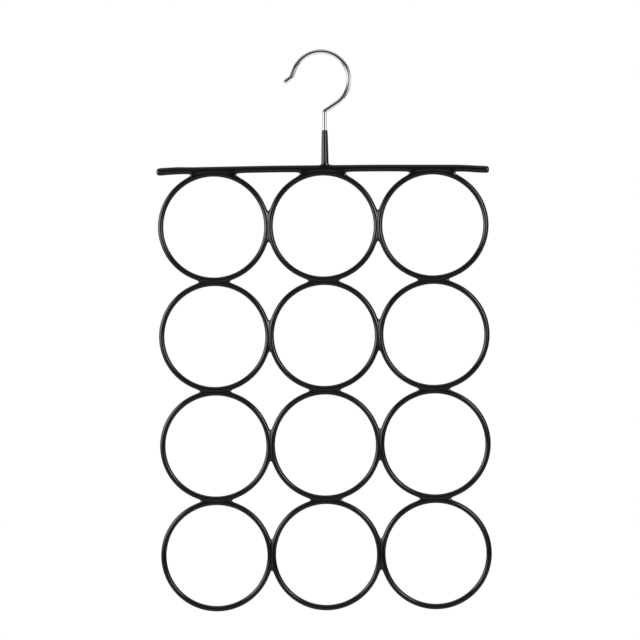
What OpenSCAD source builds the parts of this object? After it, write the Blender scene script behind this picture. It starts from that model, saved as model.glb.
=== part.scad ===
// Scarf hanger: twelve welded wire rings under a crossbar, dipped in black
// vinyl together with the shank of a bright plated rail hook.
// The origin is the seat of the hook, where it rests on the rail. X runs along
// the crossbar, the hook opens towards -X, and the hanger hangs down along -Z.

/* [Rings] */
// Clear opening of a finished ring, from coat to coat
ring_opening_d = 90.6; // [70:0.1:120]
// Bare steel wire of a ring
ring_wire_d = 3; // [2.4:0.1:4]
// How far two ring wires are pressed into each other where they are welded
ring_weld_sink = 0.1; // [0.06:0.02:0.3]
// How far the middle of the rings stands beside the middle of the bow
ring_grid_x = 1; // [-3:0.1:3]

/* [Crossbar] */
// Bare steel wire of the crossbar
bar_wire_d = 4.8; // [4:0.1:5.6]
// How far the finished crossbar reaches past the outer rings at each end
bar_overhang = 1; // [0.5:0.5:20]
// Bend of the crossbar between two rings, which lowers its ends
bar_bend_angle = 0.6; // [0.4:0.1:1.5]
// Further bend of each end of the crossbar, outside the outer rings
bar_end_angle = 2.4; // [0.4:0.1:3]
// Radius of these bends
bar_bend_r = 400; // [200:50:600]
// How far the middle ring is pressed into the crossbar where it is welded
bar_weld_sink = 0.06; // [0.04:0.02:0.3]

/* [Hook] */
// Wire of the hook
hook_wire_d = 4; // [3:0.1:4.6]
// Inside diameter of the bow that sits on the rail
hook_bow_d = 46.8; // [38:0.2:60]
// Angle below level at which the bow runs off towards the neck
hook_exit_angle = 57; // [50:1:62]
// Angle above level at which the bow ends beside the mouth
hook_mouth_angle = 21; // [10:1:40]
// Straight run from the end of the bow to the kick of the tip
hook_mouth_run = 5.3; // [4:0.1:14]
// Bend radius of the kick, at the middle of the wire
hook_kick_r = 5; // [4:0.5:8]
// Angle by which the tip is kicked outwards
hook_kick_angle = 31.5; // [10:0.5:50]
// Straight run of the tip after the kick
hook_tip_run = 6.9; // [2:0.1:8]
// Rounding of the edge of the tip
hook_tip_round = 0.8; // [0.2:0.1:1.2]
// Bend radius of the neck, at the middle of the wire
hook_neck_r = 3.5; // [3:0.1:5]
// How far the shank stands beside the middle of the bow
hook_shank_x = 3.1; // [0:0.1:4]
// From the corner of the neck down to the middle of the crossbar
hook_shank_h = 51.7; // [42:0.1:90]
// How far the shank is pressed into the crossbar where it is welded
hook_weld_sink = 0.5; // [0.3:0.1:1]

/* [Vinyl coat] */
// Coat on the wire of a ring
ring_coat_t = 1; // [0.5:0.05:1.2]
// Coat on the crossbar
bar_coat_t = 0.75; // [0.4:0.05:1.2]
// Coat on the shank at its upper edge
neck_coat_top_t = 0.55; // [0.2:0.05:0.7]
// Coat on the shank where it meets the crossbar
neck_coat_foot_t = 1.4; // [0.8:0.05:1.5]
// Upper edge of the coat, above the middle of the crossbar
neck_coat_h = 34.4; // [16:0.1:36]
// Radius of the hollow curve in which the coat bridges two wires
web_r = 1.8; // [1:0.1:2.6]
// Thickness of the coat in such a bridge, front to back
web_t = 3; // [2:0.1:3.6]
// Width of the drip that set under one end of the crossbar
drip_d = 4; // [3:0.1:4.4]
// How far the middle of the drip lies below the middle of the crossbar
drip_drop = 1.8; // [1.4:0.1:1.9]
// From the end of the crossbar to the middle of the drip
drip_inset = 4.4; // [4:0.1:8]

/* [Hidden] */
ring_nodes = ["ring_r1c1", "ring_r1c2", "ring_r1c3", "ring_r2c1", "ring_r2c2", "ring_r2c3",
    "ring_r3c1", "ring_r3c2", "ring_r3c3", "ring_r4c1", "ring_r4c2", "ring_r4c3"];
coat_nodes = ["ring_coat_r1c1", "ring_coat_r1c2", "ring_coat_r1c3",
    "ring_coat_r2c1", "ring_coat_r2c2", "ring_coat_r2c3",
    "ring_coat_r3c1", "ring_coat_r3c2", "ring_coat_r3c3",
    "ring_coat_r4c1", "ring_coat_r4c2", "ring_coat_r4c3"];

// The grid of rings: rows count downwards from the crossbar, columns from -X
rows = 4;
columns = 3;
ring_r = ring_opening_d / 2 + ring_coat_t + ring_wire_d / 2;
ring_coated_r = ring_wire_d / 2 + ring_coat_t;
ring_pitch = 2 * ring_r + ring_wire_d - ring_weld_sink;
grid_half_w = (columns - 1) / 2 * ring_pitch + ring_r + ring_coated_r;

// The hook: its bow hangs under the rail seat, which is the origin
hook_r = hook_wire_d / 2;
bow_r = hook_bow_d / 2 + hook_r;
bow_turn = hook_exit_angle + 180 - hook_mouth_angle;
neck_slant = (bow_r * cos(hook_exit_angle) - hook_shank_x) / sin(hook_exit_angle);
neck_corner = hook_neck_r * tan(hook_exit_angle / 2);
neck_z = -hook_bow_d / 2 - bow_r * sin(hook_exit_angle) - neck_slant * cos(hook_exit_angle);
// Straight wire is this much thinner in radius than the bends that it enters
bend_step = 0.01;
// How far straight wire enters a bend
bend_lap = 0.1;
run_r = hook_r - bend_step;

// How far the edge of a bridge runs into the coats that it joins
web_sink = 0.06;

// The crossbar: level in the middle, bowed down to both ends
bar_r = bar_wire_d / 2;
bar_coated_r = bar_r + bar_coat_t;
bar_half_w = grid_half_w + bar_overhang - bar_coated_r;
bar_slope = tan(bar_bend_angle);
bar_end_slope = tan(bar_bend_angle + bar_end_angle);
bar_corner = bar_bend_r * tan(bar_bend_angle / 2);
bar_end_corner = bar_bend_r * tan(bar_end_angle / 2);
bar_bend_x = ring_pitch / 2;
bar_end_x = ring_pitch * (columns - 1) / 2 + 0.62 * ring_r;
bar_side_run = (bar_end_x - bar_bend_x) / cos(bar_bend_angle) - bar_corner - bar_end_corner;
bar_end_run = (bar_half_w - bar_end_x) / cos(bar_bend_angle + bar_end_angle) - bar_end_corner;
bar_z = neck_z - hook_shank_h;
bar_end_z = bar_z - (bar_half_w - bar_bend_x) * bar_slope - (bar_half_w - bar_end_x) * (bar_end_slope - bar_slope);
shank_foot_z = bar_z + bar_r - hook_weld_sink;
first_row_z = bar_z - bar_r - ring_r - ring_wire_d / 2 + bar_weld_sink;

// The coat at the foot of the shank
neck_foot_r = run_r + neck_coat_foot_t;
neck_top_r = run_r + neck_coat_top_t;
neck_foot_z = bar_coated_r / 3;
neck_web_z = bar_coated_r + web_r - web_sink;
neck_web_x = neck_foot_r + (neck_top_r - neck_foot_r) * neck_web_z / neck_coat_h + web_r - web_sink;

// Longer than any piece that it cuts
reach = 2 * ring_pitch;
wire_sides = 40;
sweep_sides = 144;

function ring_x(column) = ring_grid_x + (column - (columns + 1) / 2) * ring_pitch;
function ring_z(row) = first_row_z - (row - 1) * ring_pitch;
function bar_z_at(x) = bar_z - max(0, abs(x - ring_grid_x) - bar_bend_x) * bar_slope
    - max(0, abs(x - ring_grid_x) - bar_end_x) * (bar_end_slope - bar_slope);
// Sideways distance of a bridge's hollow curve, when it lies this far off in the other direction
function web_offset(away) = sqrt(pow(ring_r + ring_coated_r + web_r - web_sink, 2) - away * away);
function web_under_bar_z(x) = bar_z_at(x) - bar_coated_r - web_r + web_sink;
function web_under_bar_x(x, z, side) =
    x + side * web_offset(web_under_bar_z(x + side * web_offset(web_under_bar_z(x) - z)) - z);

// Straight wire along X from a bend or a free end to a bend or a free end, and what follows it
module run(wire_r, length, lap_in = bend_lap, lap_out = bend_lap) {
    translate([-lap_in, 0, 0]) rotate([0, 90, 0])
        cylinder(r = wire_r - bend_step, h = length + lap_in + lap_out, $fn = wire_sides);
    translate([length, 0, 0]) children();
}

// Bent wire that starts along X and turns in the XY plane, and what follows it
module bend(wire_r, radius, angle) {
    side = sign(angle);
    translate([0, side * radius, 0]) rotate(-90 * side) mirror([0, side < 0 ? 1 : 0, 0])
        rotate_extrude(angle = abs(angle), $fn = sweep_sides)
            translate([radius, 0]) circle(r = wire_r, $fn = wire_sides);
    translate([radius * sin(abs(angle)), side * radius * (1 - cos(angle)), 0]) rotate(angle) children();
}

// The end of the wire, cut square with its edge rounded
module tip() {
    translate([-bend_lap, 0, 0]) rotate([0, 90, 0]) rotate_extrude($fn = wire_sides) {
        square([run_r, hook_tip_run + bend_lap - hook_tip_round]);
        square([run_r - hook_tip_round, hook_tip_run + bend_lap]);
        translate([run_r - hook_tip_round, hook_tip_run + bend_lap - hook_tip_round])
            circle(r = hook_tip_round, $fn = wire_sides);
    }
}

// A full round wire ring that stands in the XZ plane
module ring_solid(wire_r) {
    rotate([90, 0, 0]) rotate_extrude($fn = sweep_sides)
        translate([ring_r, 0]) circle(r = wire_r, $fn = wire_sides);
}

// A round rod along the crossbar, from end to end
module bar_solid(wire_r) {
    translate([ring_grid_x - bar_half_w, 0, bar_end_z]) rotate([90, 0, 0]) rotate(bar_bend_angle + bar_end_angle)
        run(wire_r, bar_end_run, 0)
        bend(wire_r, bar_bend_r, -bar_end_angle)
        run(wire_r, bar_side_run)
        bend(wire_r, bar_bend_r, -bar_bend_angle)
        run(wire_r, 2 * (bar_bend_x - bar_corner))
        bend(wire_r, bar_bend_r, -bar_bend_angle)
        run(wire_r, bar_side_run)
        bend(wire_r, bar_bend_r, -bar_end_angle)
        run(wire_r, bar_end_run, bend_lap, 0);
}

// The part of the shank that is welded on the crossbar and coated
module shank_solid() {
    translate([hook_shank_x, 0, shank_foot_z]) cylinder(r = run_r, h = hook_shank_h, $fn = wire_sides);
}

// The space that belongs to one ring: it ends half way to each neighbour
module ring_cell(row, column) {
    left = column > 1 ? ring_pitch / 2 : reach;
    right = column < columns ? ring_pitch / 2 : reach;
    down = row < rows ? ring_pitch / 2 : reach;
    up = row > 1 ? ring_pitch / 2 : reach;
    translate([-left, -reach / 2, -down]) cube([left + right, reach, down + up]);
}

// Outline of the bridges of coat round one ring, out to half way to each neighbour
module web_outline(row, column) {
    half = ring_pitch / 2;
    off = web_offset(half);
    x = ring_x(column);
    z = ring_z(row);
    left_x = web_under_bar_x(x, z, -1) - x;
    right_x = web_under_bar_x(x, z, 1) - x;
    difference() {
        union() {
            if (column > 1) translate([-half, -off]) square([half, 2 * off]);
            if (column < columns) translate([0, -off]) square([half, 2 * off]);
            if (row < rows) translate([-off, -half]) square([2 * off, half]);
            if (row > 1) translate([-off, 0]) square([2 * off, half]);
            if (row == 1) translate([left_x, 0]) square([right_x - left_x, bar_z_at(x) - z]);
        }
        circle(r = ring_r, $fn = sweep_sides);
        for (side = [-1, 1]) {
            if (column > 1) translate([-half, side * off]) circle(r = web_r, $fn = wire_sides);
            if (column < columns) translate([half, side * off]) circle(r = web_r, $fn = wire_sides);
            if (row < rows) translate([side * off, -half]) circle(r = web_r, $fn = wire_sides);
            if (row > 1) translate([side * off, half]) circle(r = web_r, $fn = wire_sides);
        }
        if (row == 1) translate([left_x, web_under_bar_z(x + left_x) - z]) circle(r = web_r, $fn = wire_sides);
        if (row == 1) translate([right_x, web_under_bar_z(x + right_x) - z]) circle(r = web_r, $fn = wire_sides);
    }
}

// Rail hook, bent from one wire
module hook() {
    color("silver") translate([hook_shank_x, 0, shank_foot_z]) rotate([90, 0, 0]) rotate(90)
        run(hook_r, neck_z - neck_corner - shank_foot_z, 0)
        bend(hook_r, hook_neck_r, -hook_exit_angle)
        run(hook_r, neck_slant - neck_corner)
        bend(hook_r, bow_r, bow_turn)
        run(hook_r, hook_mouth_run)
        bend(hook_r, hook_kick_r, -hook_kick_angle)
        tip();
}

// Steel rod that carries the rings, with a seat for the shank
module crossbar() {
    color("dimgray") difference() {
        bar_solid(bar_r);
        shank_solid();
    }
}

// Steel ring, flat where its neighbours are welded on and hollowed where it meets the crossbar
module ring(row, column) {
    color("gray") difference() {
        translate([ring_x(column), 0, ring_z(row)]) intersection() {
            ring_solid(ring_wire_d / 2);
            ring_cell(row, column);
        }
        if (row == 1) bar_solid(bar_r);
    }
}

// Coat of one ring, with its share of the bridges to what is welded to it
module ring_coat(row, column) {
    color("#1d1e20") difference() {
        translate([ring_x(column), 0, ring_z(row)]) intersection() {
            union() {
                ring_solid(ring_coated_r);
                rotate([90, 0, 0]) linear_extrude(web_t, center = true) web_outline(row, column);
            }
            ring_cell(row, column);
        }
        translate([ring_x(column), 0, ring_z(row)]) ring_solid(ring_wire_d / 2);
        if (row == 1) bar_solid(bar_coated_r);
    }
}

// Coat of the crossbar, with its round ends and the drip
module crossbar_coat() {
    color("#1d1e20") difference() {
        union() {
            bar_solid(bar_coated_r);
            for (side = [-1, 1]) translate([ring_grid_x + side * bar_half_w, 0, bar_end_z])
                sphere(r = bar_coated_r - 2 * bend_step, $fn = sweep_sides);
            translate([ring_grid_x + drip_inset - bar_half_w - bar_coated_r, 0, bar_end_z - drip_drop])
                sphere(d = drip_d, $fn = wire_sides);
        }
        bar_solid(bar_r);
        shank_solid();
        for (column = [1 : columns]) translate([ring_x(column), 0, ring_z(1)]) ring_solid(ring_wire_d / 2);
    }
}

// Coat of the shank: thin at its upper edge, thicker where it ran down
module neck_coat() {
    color("#1d1e20") difference() {
        translate([hook_shank_x, 0, bar_z]) union() {
            rotate_extrude($fn = sweep_sides) polygon([[0, neck_foot_z], [neck_foot_r, neck_foot_z],
                [neck_top_r, neck_coat_h], [0, neck_coat_h]]);
            rotate([90, 0, 0]) linear_extrude(web_t, center = true) difference() {
                translate([-neck_web_x, 0]) square([2 * neck_web_x, neck_web_z]);
                for (side = [-1, 1]) translate([side * neck_web_x, neck_web_z])
                    circle(r = web_r, $fn = wire_sides);
            }
        }
        shank_solid();
        bar_solid(bar_coated_r);
    }
}

hook();
crossbar();
ring(1, 1);  // ring_r1c1
ring(1, 2);  // ring_r1c2
ring(1, 3);  // ring_r1c3
ring(2, 1);  // ring_r2c1
ring(2, 2);  // ring_r2c2
ring(2, 3);  // ring_r2c3
ring(3, 1);  // ring_r3c1
ring(3, 2);  // ring_r3c2
ring(3, 3);  // ring_r3c3
ring(4, 1);  // ring_r4c1
ring(4, 2);  // ring_r4c2
ring(4, 3);  // ring_r4c3
crossbar_coat();
neck_coat();
ring_coat(1, 1);  // ring_coat_r1c1
ring_coat(1, 2);  // ring_coat_r1c2
ring_coat(1, 3);  // ring_coat_r1c3
ring_coat(2, 1);  // ring_coat_r2c1
ring_coat(2, 2);  // ring_coat_r2c2
ring_coat(2, 3);  // ring_coat_r2c3
ring_coat(3, 1);  // ring_coat_r3c1
ring_coat(3, 2);  // ring_coat_r3c2
ring_coat(3, 3);  // ring_coat_r3c3
ring_coat(4, 1);  // ring_coat_r4c1
ring_coat(4, 2);  // ring_coat_r4c2
ring_coat(4, 3);  // ring_coat_r4c3
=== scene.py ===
import bpy
import bmesh
import math
from mathutils import Matrix, Vector


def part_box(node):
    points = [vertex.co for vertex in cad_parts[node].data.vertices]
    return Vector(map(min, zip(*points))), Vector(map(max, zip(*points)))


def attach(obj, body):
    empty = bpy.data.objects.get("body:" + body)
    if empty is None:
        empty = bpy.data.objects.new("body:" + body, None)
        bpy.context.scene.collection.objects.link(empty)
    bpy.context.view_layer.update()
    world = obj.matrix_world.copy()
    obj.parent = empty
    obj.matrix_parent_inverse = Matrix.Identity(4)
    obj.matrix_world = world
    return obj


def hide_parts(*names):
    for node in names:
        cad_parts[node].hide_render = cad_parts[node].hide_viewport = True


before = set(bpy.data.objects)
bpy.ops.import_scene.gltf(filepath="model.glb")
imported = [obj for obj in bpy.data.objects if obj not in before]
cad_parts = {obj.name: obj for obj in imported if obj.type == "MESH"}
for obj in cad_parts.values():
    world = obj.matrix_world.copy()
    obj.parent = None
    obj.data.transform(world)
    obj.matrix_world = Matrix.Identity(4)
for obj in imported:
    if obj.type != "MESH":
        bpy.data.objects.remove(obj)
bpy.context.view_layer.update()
mm = 0.001
mergeWithin = 0.02 * mm
slack = 0.05 * mm                 # what a place may be off by when faces are picked
fineSlack = 0.01 * mm             # and what a height may be off by
print("stage: frame loaded,", len(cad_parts), "nodes")


def linearColour(hexText):
    # sRGB hex, such as "1b1c1e", to the linear colour that Blender's sockets take
    parts = [int(hexText[i:i + 2], 16) / 255 for i in (0, 2, 4)]
    return [c / 12.92 if c <= 0.04045 else ((c + 0.055) / 1.055) ** 2.4 for c in parts] + [1.0]


def addNode(tree, kind, settings=None, links=None):
    # one node: settings go to its properties or sockets, links are {socket: (node, output)}
    node = tree.nodes.new(kind)
    for key, value in (settings or {}).items():
        if isinstance(key, str) and hasattr(node, key):
            setattr(node, key, value)
        else:
            node.inputs[key].default_value = value
    for key, (source, output) in (links or {}).items():
        tree.links.new(source.outputs[output], node.inputs[key])
    return node


def deselectAll():
    if bpy.context.mode != "OBJECT":
        bpy.ops.object.mode_set(mode="OBJECT")
    bpy.ops.object.select_all(action="DESELECT")


def makeActive(*objs):
    deselectAll()
    for obj in objs:
        obj.select_set(True)
    bpy.context.view_layer.objects.active = objs[0]


def applyPlace(obj):
    makeActive(obj)
    bpy.ops.object.transform_apply(location=True, rotation=True, scale=True)


def selectFaces(obj, test):
    # in edit mode: selects the faces whose centre and normal pass the test
    mesh = bmesh.from_edit_mesh(obj.data)
    bpy.ops.mesh.select_all(action="DESELECT")
    bpy.context.tool_settings.mesh_select_mode = (False, False, True)
    picked = 0
    for face in mesh.faces:
        if test(face.calc_center_median(), face.normal):
            face.select_set(True)
            picked += 1
    bmesh.update_edit_mesh(obj.data)
    return picked


def selectPoints(obj, test):
    # in edit mode: selects the points that pass the test, with the edges and faces between them
    mesh = bmesh.from_edit_mesh(obj.data)
    bpy.ops.mesh.select_all(action="DESELECT")
    bpy.context.tool_settings.mesh_select_mode = (True, False, False)
    for vert in mesh.verts:
        if test(vert.co):
            vert.select_set(True)
    mesh.select_flush_mode()
    bmesh.update_edit_mesh(obj.data)


def closeUp():
    # merges doubles and turns all faces outwards
    bpy.ops.mesh.select_all(action="SELECT")
    bpy.ops.mesh.remove_doubles(threshold=mergeWithin)
    bpy.ops.mesh.normals_make_consistent(inside=False)
    bpy.ops.object.mode_set(mode="OBJECT")


middleLow, middleHigh = [Vector(c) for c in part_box("ring_coat_r2c2")]
cornerLow = Vector(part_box("ring_coat_r4c1")[0])
pitch = middleHigh.x - middleLow.x
wireR = (middleHigh.y - middleLow.y) / 2
middleRing = (middleLow + middleHigh) / 2
ringR = middleRing.x - pitch - cornerLow.x - wireR
barLow, barHigh = [Vector(c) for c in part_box("crossbar_coat")]
neckLow, neckHigh = [Vector(c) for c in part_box("neck_coat")]
barCoatR = (barHigh.y - barLow.y) / 2
barZ = barHigh.z - barCoatR
neckX = (neckLow.x + neckHigh.x) / 2
print("stage: sizes", [round(v / mm, 3) for v in (pitch, wireR, ringR, barCoatR, barZ, neckHigh.z)])


def ringCentre(row, column):
    return Vector((middleRing.x + (column - 2) * pitch, 0, middleRing.z - (row - 2) * pitch))


coatShape = {
    "ringSteps": 44,              # spans round a ring's cage, 11 to a quarter
    "sideWebSpans": 2,            # spans each way that a side or stacked bridge takes
    "barWebSpans": 3,             # spans each way that a bridge to the crossbar takes
    "wireSides": 8,               # sides of a wire's cage
    # how far a bridge draws in, front to back, out to so far from its weld
    "webHollows": ((3 * mm, 0.80), (10 * mm, 0.66), (16 * mm, 0.56)),
    "barBendDegrees": 0.6,        # bow of the crossbar between the rings
    "barEndDegrees": 2.4,         # and past the outer rings
    "barEndShare": 0.62,          # of a ring's radius, from the outer ring's middle to the second bend
    "barSpans": (0.36, 0.5, 0.64),
    # rings of points at the crossbar's ends: distance in from the end, size of the coat, how far it drops.
    # The coat gathers a little at the left end and hangs a little lower at the right one
    "leftEnd": ((0.12 * mm, 0.42, -0.2 * mm), (0.60 * mm, 0.82, -0.2 * mm), (1.8 * mm, 1.05, -0.25 * mm),
                (4.4 * mm, 1.13, -0.2 * mm), (7.0 * mm, 1.10, -0.25 * mm), (10.5 * mm, 1.08, -0.3 * mm),
                (15.5 * mm, 1.08, -0.3 * mm), (21.4 * mm, 1.06, -0.25 * mm)),
    "rightEnd": ((21.4 * mm, 1.0, 0.15 * mm), (14.5 * mm, 1.02, 0.35 * mm), (8 * mm, 1.03, 0.4 * mm),
                 (3.6 * mm, 1.03, 0.4 * mm), (1.7 * mm, 1.0, 0.35 * mm), (0.5 * mm, 0.82, 0.3 * mm),
                 (0.10 * mm, 0.42, 0.3 * mm)),
    "neckHoleHalf": 3.3 * mm,
    "neckFootR": 3.38 * mm,
    "neckFootFlare": 1.02,
    "neckTopR": 2.50 * mm,
    "neckFillet": 1.9 * mm,
    "neckBulge": 0.52,            # 1 for a plain cone, less for one that swells under its upper edge
    "neckShares": (0.12, 0.24, 0.40, 0.56, 0.72, 0.86, 0.965, 0.995),
    "neckRim": (0.985, 0.90),     # the firm upper edge, closing in
    "smoothing": 2,
}
cageStep = 2 * math.pi / coatShape["ringSteps"]
# a smoothed cage draws in: these factors bring it back to its size
acrossWire = 1 / (2 / 3 + math.cos(2 * math.pi / coatShape["wireSides"]) / 3)
alongRing = 1 / (2 / 3 + math.cos(cageStep) / 3)
cageWireR = wireR * acrossWire
cageRingR = ringR * alongRing
barCageR = barCoatR * acrossWire
barBendX = pitch / 2
barEndX = pitch + coatShape["barEndShare"] * ringR


def barAxisZ(x):
    away = abs(x - middleRing.x)
    slope = math.tan(math.radians(coatShape["barBendDegrees"]))
    endSlope = math.tan(math.radians(coatShape["barBendDegrees"] + coatShape["barEndDegrees"]))
    return barZ - max(0, away - barBendX) * slope - max(0, away - barEndX) * (endSlope - slope)


def makeRingCage():
    # a ring of wire: an eight-sided circle spun once round
    deselectAll()
    bpy.ops.mesh.primitive_circle_add(vertices=coatShape["wireSides"], radius=cageWireR,
                                      location=(cageRingR, 0, 0), rotation=(0, 0, math.pi / 8))
    cage = bpy.context.active_object
    applyPlace(cage)
    bpy.ops.object.mode_set(mode="EDIT")
    bpy.ops.mesh.select_all(action="SELECT")
    bpy.ops.mesh.spin(steps=coatShape["ringSteps"], angle=2 * math.pi, center=(0, 0, 0), axis=(0, 1, 0))
    closeUp()
    return cage


def copyTo(obj, place):
    twin = obj.copy()
    twin.data = obj.data.copy()
    twin.data.transform(Matrix.Translation(place))
    bpy.context.collection.objects.link(twin)
    return twin


def barStations():
    # (x, size, drop) of each ring of points along the crossbar, from its left end to its right
    outer = ringR + wireR
    stations = [(barLow.x + inset, size, drop) for inset, size, drop in coatShape["leftEnd"]]
    for column in (-1, 0, 1):
        for k in range(-coatShape["barWebSpans"], coatShape["barWebSpans"] + 1):
            x = middleRing.x + column * pitch + outer * math.sin(k * cageStep)
            if column == 0 and k == 0:
                x = neckX - coatShape["neckHoleHalf"]
            if column == 0 and k == 1:
                x = neckX + coatShape["neckHoleHalf"]
            stations.append((x, 1.0, 0))
        if column < 1:
            for share in coatShape["barSpans"]:
                stations.append((middleRing.x + (column + share) * pitch, 1.0, 0))
    stations += [(barHigh.x - inset, size, drop) for inset, size, drop in coatShape["rightEnd"]]
    return stations


def makeBarCage():
    # the crossbar: an eight-sided circle extruded from station to station
    stations = barStations()
    x, size, drop = stations[0]
    turned = Matrix.Rotation(math.pi / 8, 3, "X") @ Matrix.Rotation(math.pi / 2, 3, "Y")
    deselectAll()
    bpy.ops.mesh.primitive_circle_add(vertices=coatShape["wireSides"], radius=barCageR * size,
                                      fill_type="NGON", location=(x, 0, barAxisZ(x) - drop),
                                      rotation=turned.to_euler())
    cage = bpy.context.active_object
    applyPlace(cage)
    bpy.ops.object.mode_set(mode="EDIT")
    bpy.ops.mesh.select_all(action="SELECT")
    for nextX, nextSize, nextDrop in stations[1:]:
        centre = (nextX, 0, barAxisZ(nextX) - nextDrop)
        bpy.ops.mesh.extrude_region_move(TRANSFORM_OT_translate={
            "value": (nextX - x, 0, centre[2] - barAxisZ(x) + drop)})
        ratio = nextSize / size
        if ratio != 1:
            bpy.ops.transform.resize(value=(1, ratio, ratio), center_override=centre)
        x, size, drop = nextX, nextSize, nextDrop
    closeUp()
    return cage


def makeNeckCage():
    # the sleeve on the shank, with a firm upper edge
    top = neckHigh.z
    foot = barZ + barCoatR
    footR = coatShape["neckFootR"] * acrossWire
    topR = coatShape["neckTopR"] * acrossWire
    height = top - foot
    rings = [(foot + coatShape["neckFillet"], footR * coatShape["neckFootFlare"])]
    for share in coatShape["neckShares"]:
        rings.append((foot + share * height, topR + (footR - topR) * (1 - share) ** coatShape["neckBulge"]))
    rings += [(top, topR * share) for share in coatShape["neckRim"]]
    z, size = rings[0]
    deselectAll()
    bpy.ops.mesh.primitive_circle_add(vertices=coatShape["wireSides"], radius=size, fill_type="NGON",
                                      location=(neckX, 0, z), rotation=(0, 0, math.pi / 8))
    cage = bpy.context.active_object
    applyPlace(cage)
    bpy.ops.object.mode_set(mode="EDIT")
    bpy.ops.mesh.select_all(action="SELECT")
    for nextZ, nextSize in rings[1:]:
        bpy.ops.mesh.extrude_region_move(TRANSFORM_OT_translate={"value": (0, 0, nextZ - z)})
        ratio = nextSize / size
        bpy.ops.transform.resize(value=(ratio, ratio, 1), center_override=(neckX, 0, nextZ))
        z, size = nextZ, nextSize
    closeUp()
    return cage


# which faces count as lying on a wire, in shares of its radius and as cosines of their slant
picking = {
    "ringReach": 1.3,
    "ringFacing": 0.9,
    "ringOutward": 0.4,
    "barFacing": 0.4,
    "barWidth": 0.85,
    "barHeights": (0.4, 1.2),
}


def onRing(point, normal, row, column, towards, spans):
    # true for the outer faces of a ring that look towards a neighbour
    offset = point - ringCentre(row, column)
    flat = Vector((offset.x, 0, offset.z))
    away = offset - flat.normalized() * cageRingR
    if away.length > picking["ringReach"] * wireR or away.normalized().dot(normal) < picking["ringFacing"]:
        return False
    if away.dot(flat.normalized()) < picking["ringOutward"] * wireR:
        return False
    turn = math.atan2(offset.x, offset.z) - math.atan2(towards[0], towards[1])
    turn = (turn + math.pi) % (2 * math.pi) - math.pi
    return abs(turn) < spans * cageStep


def onBar(point, normal, fromX, toX, side):
    # true for the faces of the crossbar between two places, on its lower (-1) or upper (1) side
    if not fromX < point.x < toX or side * normal.z < picking["barFacing"]:
        return False
    height = side * (point.z - barAxisZ(point.x))
    low, high = picking["barHeights"]
    return abs(point.y) < picking["barWidth"] * barCoatR and low * barCoatR < height < high * barCoatR


def bridgePair(coat, testOne, testTwo, wanted):
    one = selectFaces(coat, testOne)
    two = selectFaces(coat, testTwo)
    both = selectFaces(coat, lambda p, n: testOne(p, n) or testTwo(p, n))
    if one != wanted or two != wanted or both != 2 * wanted:
        raise RuntimeError("a bridge found %d and %d faces, not %d" % (one, two, wanted))
    bpy.ops.mesh.bridge_edge_loops(number_cuts=1, interpolation="LINEAR")


def onMidPlane(value, first, count):
    # true when a point lies half way between two neighbouring rings
    place = (value - first) / pitch
    return abs(place - round(place)) * pitch < slack and 0 <= round(place) < count


def besideWeld(p):
    # how far a middle point of a bridge between rings lies from its weld
    if onMidPlane(p.x, ringCentre(1, 1).x + pitch / 2, 2):
        along = abs(p.z - ringCentre(1, 1).z) % pitch
    elif onMidPlane(p.z, ringCentre(4, 1).z + pitch / 2, 3):
        along = abs(p.x - middleRing.x) % pitch
    else:
        return pitch
    return min(along, pitch - along)


def hollowWebs(coat):
    # draws the bridges in, front and back: a little at the weld, more at their ends
    start = 0
    for reach, scale in coatShape["webHollows"]:
        selectPoints(coat, lambda p: start <= besideWeld(p) < reach)
        bpy.ops.transform.resize(value=(1, scale, 1), center_override=(0, 0, 0))
        start = reach


def makeCoat():
    ring = makeRingCage()
    cages = [copyTo(ring, ringCentre(row, column)) for row in range(1, 5) for column in range(1, 4)]
    bpy.data.objects.remove(ring)
    cages += [makeBarCage(), makeNeckCage()]
    makeActive(*cages)
    bpy.ops.object.join()
    coat = bpy.context.active_object
    coat.name = "vinyl_coat"
    bpy.ops.object.mode_set(mode="EDIT")
    side = coatShape["sideWebSpans"]
    strips = 3                    # faces across a wire that a bridge takes
    for row in range(1, 5):
        for column in range(1, 4):
            if column < 3:
                bridgePair(coat, lambda p, n: onRing(p, n, row, column, (1, 0), side),
                           lambda p, n: onRing(p, n, row, column + 1, (-1, 0), side), 2 * side * strips)
            if row < 4:
                bridgePair(coat, lambda p, n: onRing(p, n, row, column, (0, -1), side),
                           lambda p, n: onRing(p, n, row + 1, column, (0, 1), side), 2 * side * strips)
    hollowWebs(coat)
    up = coatShape["barWebSpans"]
    half = (ringR + wireR) * math.sin(up * cageStep) + slack
    for column in range(1, 4):
        x = ringCentre(1, column).x
        bridgePair(coat, lambda p, n: onRing(p, n, 1, column, (0, 1), up),
                   lambda p, n: onBar(p, n, x - half, x + half, -1), 2 * up * strips)
    neckFoot = barZ + barCoatR + coatShape["neckFillet"]
    halfHole = coatShape["neckHoleHalf"] + slack
    found = selectFaces(coat, lambda p, n: onBar(p, n, neckX - halfHole, neckX + halfHole, 1)
                        or (abs(p.z - neckFoot) < fineSlack and abs(p.x - neckX) < mm))
    if found != strips + 1:
        raise RuntimeError("the neck found %d faces, not %d" % (found, strips + 1))
    bpy.ops.mesh.bridge_edge_loops(number_cuts=0)
    closeUp()
    makeActive(coat)
    smooth = coat.modifiers.new("smooth", "SUBSURF")
    smooth.levels = coatShape["smoothing"]
    smooth.render_levels = coatShape["smoothing"]
    bpy.ops.object.modifier_apply(modifier="smooth")
    makeActive(coat)
    bpy.ops.object.shade_smooth()
    return coat


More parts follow.
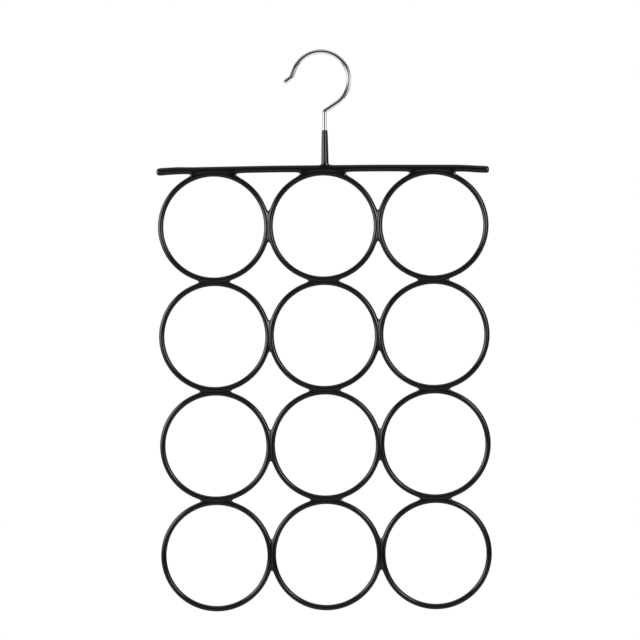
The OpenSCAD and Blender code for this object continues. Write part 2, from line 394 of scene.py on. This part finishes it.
hookShape = {
    "wireR": 2.0 * mm,
    "bowR": 25.4 * mm,            # to the middle of the wire
    "exitDegrees": 57.0,
    "mouthDegrees": 21.0,
    "mouthRun": 5.3 * mm,
    "kickR": 5.0 * mm,
    "kickDegrees": 31.5,
    "tipRun": 6.9 * mm,
    "tipRound": 0.8 * mm,
    "neckR": 3.5 * mm,
    "shankX": neckX,
    "wireSides": 32,
    "neckSteps": 12,
    "bowSteps": 96,
    "kickSteps": 10,
    "tipSteps": 4,
    "sharpDegrees": 40,           # edges steeper than this stay sharp
}


def makeHook():
    shape = hookShape
    r = shape["wireR"]
    exitAngle = math.radians(shape["exitDegrees"])
    slant = (shape["bowR"] * math.cos(exitAngle) - shape["shankX"]) / math.sin(exitAngle)
    corner = shape["neckR"] * math.tan(exitAngle / 2)
    bowZ = r - shape["bowR"]
    neckZ = bowZ - shape["bowR"] * math.sin(exitAngle) - slant * math.cos(exitAngle)
    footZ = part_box("hook")[0][2]
    place = Vector((shape["shankX"], 0, footZ))
    heading = math.pi / 2         # in the XZ plane, from +X towards +Z
    deselectAll()
    bpy.ops.mesh.primitive_circle_add(vertices=shape["wireSides"], radius=r, fill_type="NGON", location=place)
    hook = bpy.context.active_object
    hook.name = "rail_hook"
    applyPlace(hook)
    bpy.ops.object.mode_set(mode="EDIT")
    bpy.ops.mesh.select_all(action="SELECT")

    def direction():
        return Vector((math.cos(heading), 0, math.sin(heading)))

    def run(length, scale=1.0):
        nonlocal place
        step = direction() * length
        bpy.ops.mesh.extrude_region_move(TRANSFORM_OT_translate={"value": step})
        place = place + step
        if scale != 1.0:
            bpy.ops.transform.resize(value=(scale, scale, scale), center_override=place)

    def bend(radius, degrees, steps):
        nonlocal place, heading
        turn = math.radians(degrees)
        across = Vector((-math.sin(heading), 0, math.cos(heading))) * math.copysign(radius, turn)
        centre = place + across
        bpy.ops.mesh.spin(steps=steps, angle=turn, center=centre, axis=(0, 1, 0))
        place = centre - Matrix.Rotation(-turn, 3, "Y") @ across
        heading += turn

    run(neckZ - corner - footZ)
    bend(shape["neckR"], -shape["exitDegrees"], shape["neckSteps"])
    run(slant - corner)
    bend(shape["bowR"], shape["exitDegrees"] + 180 - shape["mouthDegrees"], shape["bowSteps"])
    run(shape["mouthRun"])
    bend(shape["kickR"], -shape["kickDegrees"], shape["kickSteps"])
    run(shape["tipRun"] - shape["tipRound"])
    core = r - shape["tipRound"]
    for k in range(1, shape["tipSteps"] + 1):
        angle = k * math.pi / 2 / shape["tipSteps"]
        before = (k - 1) * math.pi / 2 / shape["tipSteps"]
        wide = core + shape["tipRound"] * math.cos(angle)
        wider = core + shape["tipRound"] * math.cos(before)
        run(shape["tipRound"] * (math.sin(angle) - math.sin(before)), wide / wider)
    closeUp()
    makeActive(hook)
    bpy.ops.object.shade_smooth_by_angle(angle=math.radians(shape["sharpDegrees"]))
    return hook


def newMaterial(name):
    # an empty material, and its node tree
    material = bpy.data.materials.new(name)
    material.use_nodes = True
    material.node_tree.nodes.clear()
    return material, material.node_tree


vinylFinish = {
    "colour": "151518",           # carbon black in the plastisol
    "worn": "1b1b1e",             # a little greyer where it is rubbed
    "roughness": 0.10,
    "clearer": 0.04,              # how far the roughness falls and rises along the runs
    "duller": 0.06,
    "runsRange": (0.3, 0.7),
    "orangePeelMm": 2.2,          # gentle unevenness that a dip leaves as it gels
    "peelBump": (0.15, 0.03 * mm),    # strength and depth
    "runsMm": 9.0,                # long shallow runs
    "runsBump": (0.18, 0.2 * mm),
    "ior": 1.50,
}


def makeBlackVinyl():
    # PVC plastisol, dipped hot and cured: deep black, glossy, with soft uneven highlights
    material, tree = newMaterial("dipped_black_pvc_plastisol")
    place = addNode(tree, "ShaderNodeTexCoord")
    peel = addNode(tree, "ShaderNodeTexNoise", {"Scale": 1000 / vinylFinish["orangePeelMm"], "Detail": 2.0,
                                                "Roughness": 0.45}, {"Vector": (place, "Object")})
    runs = addNode(tree, "ShaderNodeTexNoise", {"Scale": 1000 / vinylFinish["runsMm"], "Detail": 1.0,
                                                "Roughness": 0.4}, {"Vector": (place, "Object")})
    rough = vinylFinish["roughness"]
    low, high = vinylFinish["runsRange"]
    shine = addNode(tree, "ShaderNodeMapRange", {"From Min": low, "From Max": high,
                                                 "To Min": rough - vinylFinish["clearer"],
                                                 "To Max": rough + vinylFinish["duller"]},
                    {"Value": (runs, "Fac")})
    strength, depth = vinylFinish["runsBump"]
    runsBump = addNode(tree, "ShaderNodeBump", {"Strength": strength, "Distance": depth},
                       {"Height": (runs, "Fac")})
    strength, depth = vinylFinish["peelBump"]
    peelBump = addNode(tree, "ShaderNodeBump", {"Strength": strength, "Distance": depth},
                       {"Height": (peel, "Fac"), "Normal": (runsBump, "Normal")})
    tint = addNode(tree, "ShaderNodeMix", {"data_type": "RGBA"}, {"Factor": (runs, "Fac")})
    tint.inputs[6].default_value = linearColour(vinylFinish["colour"])
    tint.inputs[7].default_value = linearColour(vinylFinish["worn"])
    shader = addNode(tree, "ShaderNodeBsdfPrincipled", {"IOR": vinylFinish["ior"]},
                     {"Roughness": (shine, "Result"), "Normal": (peelBump, "Normal"),
                      "Base Color": (tint, 2)})
    addNode(tree, "ShaderNodeOutputMaterial", None, {"Surface": (shader, "BSDF")})
    return material


chromeFinish = {
    "colour": "c3c5c7",
    "roughness": 0.07,
    "clearer": 0.03,              # how far the roughness falls and rises with the haze
    "duller": 0.05,
    "hazePerMetre": 60.0,
    "hazeRange": (0.35, 0.7),
    "drawMarksMm": 0.5,           # faint marks of the drawn wire under the plating
    "marksBump": (0.12, 0.01 * mm),
}


def makeBrightChrome():
    # decorative chromium over nickel on drawn wire: a clear, slightly blue mirror with faint draw marks
    material, tree = newMaterial("bright_chrome_plated_wire")
    place = addNode(tree, "ShaderNodeTexCoord")
    marks = addNode(tree, "ShaderNodeTexNoise", {"Scale": 1000 / chromeFinish["drawMarksMm"], "Detail": 3.0},
                    {"Vector": (place, "Object")})
    haze = addNode(tree, "ShaderNodeTexNoise", {"Scale": chromeFinish["hazePerMetre"], "Detail": 2.0},
                   {"Vector": (place, "Object")})
    rough = chromeFinish["roughness"]
    low, high = chromeFinish["hazeRange"]
    shine = addNode(tree, "ShaderNodeMapRange", {"From Min": low, "From Max": high,
                                                 "To Min": rough - chromeFinish["clearer"],
                                                 "To Max": rough + chromeFinish["duller"]},
                    {"Value": (haze, "Fac")})
    strength, depth = chromeFinish["marksBump"]
    bump = addNode(tree, "ShaderNodeBump", {"Strength": strength, "Distance": depth},
                   {"Height": (marks, "Fac")})
    shader = addNode(tree, "ShaderNodeBsdfPrincipled",
                     {"Metallic": 1.0, "Base Color": linearColour(chromeFinish["colour"])},
                     {"Roughness": (shine, "Result"), "Normal": (bump, "Normal")})
    addNode(tree, "ShaderNodeOutputMaterial", None, {"Surface": (shader, "BSDF")})
    return material


steelFinish = {
    "light": "8b8c8e",
    "dark": "5f6061",
    "roughness": 0.38,
    "grainMm": 0.6,
    "grainBump": (0.3, 0.02 * mm),
}


def makeBareSteel():
    # drawn mild steel wire before it is dipped: dull grey with a fine grain
    material, tree = newMaterial("drawn_mild_steel")
    place = addNode(tree, "ShaderNodeTexCoord")
    grain = addNode(tree, "ShaderNodeTexNoise", {"Scale": 1000 / steelFinish["grainMm"], "Detail": 4.0},
                    {"Vector": (place, "Object")})
    tint = addNode(tree, "ShaderNodeMix", {"data_type": "RGBA"}, {"Factor": (grain, "Fac")})
    tint.inputs[6].default_value = linearColour(steelFinish["dark"])
    tint.inputs[7].default_value = linearColour(steelFinish["light"])
    strength, depth = steelFinish["grainBump"]
    bump = addNode(tree, "ShaderNodeBump", {"Strength": strength, "Distance": depth},
                   {"Height": (grain, "Fac")})
    shader = addNode(tree, "ShaderNodeBsdfPrincipled",
                     {"Metallic": 1.0, "Roughness": steelFinish["roughness"]},
                     {"Normal": (bump, "Normal"), "Base Color": (tint, 2)})
    addNode(tree, "ShaderNodeOutputMaterial", None, {"Surface": (shader, "BSDF")})
    return material


blackVinyl = makeBlackVinyl()
brightChrome = makeBrightChrome()
bareSteel = makeBareSteel()
print("stage: materials made")

coat = makeCoat()
coat.data.materials.clear()
coat.data.materials.append(blackVinyl)
coatNodes = [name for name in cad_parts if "coat" in name]
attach(coat, "root")
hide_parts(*coatNodes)
print("stage: coat made,", len(coat.data.polygons), "faces")

hook = makeHook()
hook.data.materials.clear()
hook.data.materials.append(brightChrome)
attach(hook, "root")
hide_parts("hook")
print("stage: hook made,", len(hook.data.polygons), "faces")

for name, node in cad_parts.items():
    if name == "crossbar" or (name.startswith("ring_r") and "coat" not in name):
        for slot in node.material_slots:
            slot.material = bareSteel
print("stage: steel inside the coat has its finish")


studio = {
    "floorZ": -0.95,              # well below the hanger, which hangs free
    "floorSize": (6, 5),
    "floorColour": "8c8c8c",
    "floorGlow": 0.30,
    "tentAbove": 0.44,
    "tentBehind": 0.12,
    "tentFront": 0.02,            # the dark side where the photograph was taken from
    "white": 1.0,                 # backdrop and floor as the camera sees them, and the backdrop in gloss
    # where the surround fades, as shares of a direction's way along Y or Z
    "frontFade": (-0.92, -0.60),
    "topFade": (0.45, 0.95),
    "backdropFade": (0.50, 0.92),
    "edgeFade": (0.02, 0.5),      # across a soft box, from its middle line to its edge
}
# soft boxes and cards: each is flagged off, so that it lights either the coat or the hook
softBoxes = {
    "left_coat": {"place": (-0.75, -0.64, -0.05), "faces": (1, 0, 0),
                  "size": (1.52, 1.10), "radiance": 3.7},
    "right_coat": {"place": (0.654, -1.007, 0.06), "faces": (-0.545, 0.839, 0),
                   "size": (0.26, 1.05), "radiance": 11.0},
    "left_hook": {"place": (-0.99, -0.48, -0.02), "faces": (0.90, 0.44, 0),
                  "size": (1.80, 1.24), "radiance": 1.8},
    "right_hook": {"place": (0.99, -0.48, 0.02), "faces": (-0.90, 0.44, 0),
                   "size": (1.70, 1.24), "radiance": 1.6},
    "card_below_hook": {"place": (0, -0.02, -0.70), "faces": (0, 0, 1),
                        "size": (2.0, 1.1), "radiance": 1.2},
    "card_above_hook": {"place": (0, -0.10, 0.65), "faces": (0, 0.15, -0.99),
                        "size": (1.6, 0.9), "radiance": 0.55},
}


def makeFloor():
    deselectAll()
    bpy.ops.mesh.primitive_plane_add(size=1, location=(0, 0, studio["floorZ"]))
    floor = bpy.context.active_object
    floor.name = "floor"
    bpy.ops.object.mode_set(mode="EDIT")
    bpy.ops.mesh.select_all(action="SELECT")
    bpy.ops.transform.resize(value=(*studio["floorSize"], 1), center_override=(0, 0, studio["floorZ"]))
    bpy.ops.object.mode_set(mode="OBJECT")
    applyPlace(floor)
    material, tree = newMaterial("pale_floor")
    path = addNode(tree, "ShaderNodeLightPath")
    pale = addNode(tree, "ShaderNodeBsdfDiffuse", {"Color": linearColour(studio["floorColour"])})
    glow = addNode(tree, "ShaderNodeEmission", {"Color": (1, 1, 1, 1), "Strength": studio["floorGlow"]})
    lit = addNode(tree, "ShaderNodeEmission", {"Color": (1, 1, 1, 1), "Strength": studio["white"]})
    plain = addNode(tree, "ShaderNodeAddShader", None, {0: (pale, "BSDF"), 1: (glow, "Emission")})
    seen = addNode(tree, "ShaderNodeMixShader", None,
                   {"Fac": (path, "Is Camera Ray"), 1: (plain, "Shader"), 2: (lit, "Emission")})
    addNode(tree, "ShaderNodeOutputMaterial", None, {"Surface": (seen, "Shader")})
    floor.data.materials.append(material)


def makeTent():
    # white to the camera, and in the wires' gloss behind the hanger; otherwise grey above and behind,
    # and dark towards -Y
    world = bpy.data.worlds.new("light_tent")
    bpy.context.scene.world = world
    world.use_nodes = True
    tree = world.node_tree
    tree.nodes.clear()
    path = addNode(tree, "ShaderNodeLightPath")
    where = addNode(tree, "ShaderNodeTexCoord")
    split = addNode(tree, "ShaderNodeSeparateXYZ", None, {"Vector": (where, "Generated")})
    low, high = studio["frontFade"]
    back = addNode(tree, "ShaderNodeMapRange", {"interpolation_type": "SMOOTHSTEP", "From Min": low,
                                                "From Max": high, "To Min": studio["tentFront"],
                                                "To Max": studio["tentBehind"]}, {"Value": (split, "Y")})
    low, high = studio["topFade"]
    above = addNode(tree, "ShaderNodeMapRange", {"interpolation_type": "SMOOTHSTEP", "From Min": low,
                                                 "From Max": high, "To Min": 0.0,
                                                 "To Max": studio["tentAbove"] - studio["tentBehind"]},
                    {"Value": (split, "Z")})
    both = addNode(tree, "ShaderNodeMath", {"operation": "ADD"}, {0: (back, "Result"), 1: (above, "Result")})
    tent = addNode(tree, "ShaderNodeBackground", {"Color": (1, 1, 1, 1)}, {"Strength": (both, "Value")})
    white = addNode(tree, "ShaderNodeBackground", {"Color": (1, 1, 1, 1), "Strength": studio["white"]})
    low, high = studio["backdropFade"]
    backdrop = addNode(tree, "ShaderNodeMapRange", {"interpolation_type": "SMOOTHSTEP", "From Min": low,
                                                    "From Max": high}, {"Value": (split, "Y")})
    inGloss = addNode(tree, "ShaderNodeMath", {"operation": "MULTIPLY"},
                      {0: (path, "Is Glossy Ray"), 1: (backdrop, "Result")})
    direct = addNode(tree, "ShaderNodeMath", {"operation": "ADD"},
                     {0: (path, "Is Camera Ray"), 1: (path, "Is Transmission Ray")})
    share = addNode(tree, "ShaderNodeMath", {"operation": "ADD", "use_clamp": True},
                    {0: (direct, "Value"), 1: (inGloss, "Value")})
    seen = addNode(tree, "ShaderNodeMixShader", None,
                   {"Fac": (share, "Value"), 1: (tent, "Background"), 2: (white, "Background")})
    addNode(tree, "ShaderNodeOutputWorld", None, {"Surface": (seen, "Shader")})


def softenEdges(light):
    # lets a soft box fade out towards its upper and lower edge
    light.use_nodes = True
    tree = light.node_tree
    tree.nodes.clear()
    where = addNode(tree, "ShaderNodeNewGeometry")
    split = addNode(tree, "ShaderNodeSeparateXYZ", None, {"Vector": (where, "Parametric")})
    off = addNode(tree, "ShaderNodeMath", {"operation": "SUBTRACT", 1: 0.5}, {0: (split, "Y")})
    away = addNode(tree, "ShaderNodeMath", {"operation": "ABSOLUTE"}, {0: (off, "Value")})
    low, high = studio["edgeFade"]
    fade = addNode(tree, "ShaderNodeMapRange", {"interpolation_type": "SMOOTHSTEP", "From Min": low,
                                                "From Max": high, "To Min": 1.0, "To Max": 0.0},
                   {"Value": (away, "Value")})
    glow = addNode(tree, "ShaderNodeEmission", {"Color": (1, 1, 1, 1)}, {"Strength": (fade, "Result")})
    addNode(tree, "ShaderNodeOutputLight", None, {"Surface": (glow, "Emission")})


def makeSoftBox(name, place):
    light = bpy.data.lights.new("soft_box_" + name, "AREA")
    light.shape = "RECTANGLE"
    light.size, light.size_y = place["size"]
    light.energy = place["radiance"] * math.pi * light.size * light.size_y
    if "card" not in name:
        softenEdges(light)
    box = bpy.data.objects.new("soft_box_" + name, light)
    bpy.context.collection.objects.link(box)
    box.location = place["place"]
    box.rotation_euler = Vector(place["faces"]).to_track_quat("-Z", "Y").to_euler()
    box.visible_camera = False
    receivers = bpy.data.collections.new(name + "_lights")
    receivers.objects.link(hook if "hook" in name else coat)
    box.light_linking.receiver_collection = receivers


view = {
    "lens": 120.0,
    "sensor": 36.0,
    "farEnd": 20.0,
    "wide": 575.7 * mm,           # what the picture's width takes in at the hanger
    "centre": (-2.78 * mm, 0.0, -239.56 * mm),
    "rollDegrees": 0.57,          # the hanger stands a little turned in the picture
}


def makeCamera():
    data = bpy.data.cameras.new("camera")
    data.lens = view["lens"]
    data.sensor_width = view["sensor"]
    data.clip_end = view["farEnd"]
    camera = bpy.data.objects.new("camera", data)
    bpy.context.collection.objects.link(camera)
    x, y, z = view["centre"]
    camera.location = (x, y - view["wide"] * view["lens"] / data.sensor_width, z)
    camera.rotation_euler = (math.pi / 2, math.radians(view["rollDegrees"]), 0)
    bpy.context.scene.camera = camera


makeFloor()
makeTent()
for name, place in softBoxes.items():
    makeSoftBox(name, place)
makeCamera()
bpy.context.scene.view_settings.view_transform = "Standard"
print("stage: floor, light and camera set")
